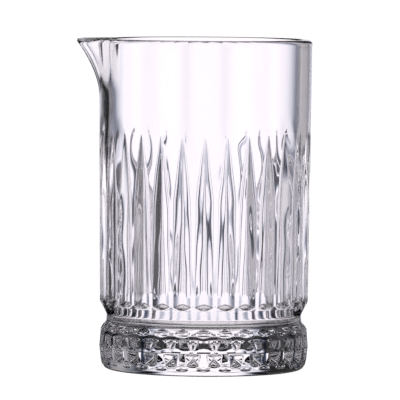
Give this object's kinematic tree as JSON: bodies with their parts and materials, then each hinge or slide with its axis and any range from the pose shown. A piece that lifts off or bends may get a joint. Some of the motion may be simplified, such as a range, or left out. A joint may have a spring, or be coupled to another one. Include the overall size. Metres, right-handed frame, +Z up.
{
  "type": "mixing glass",
  "caption": "Cylindrical pressed-glass mixing glass with a pouring lip, pointed vertical flutes, a narrow waist and a heavy foot with a cut relief.",
  "frame": {"origin": "centre of the standing ring, on the plane the glass rests on", "axes": "+Z up along the glass's axis, from the foot to the rim; the pouring lip points along -X"},
  "size_m": [0.1071, 0.0972, 0.15],
  "materials": {
    "clear_glass": "clear gloss"
  },
  "bodies": {
    "root": {"glass_body": "clear_glass"}
  },
  "joints": []
}
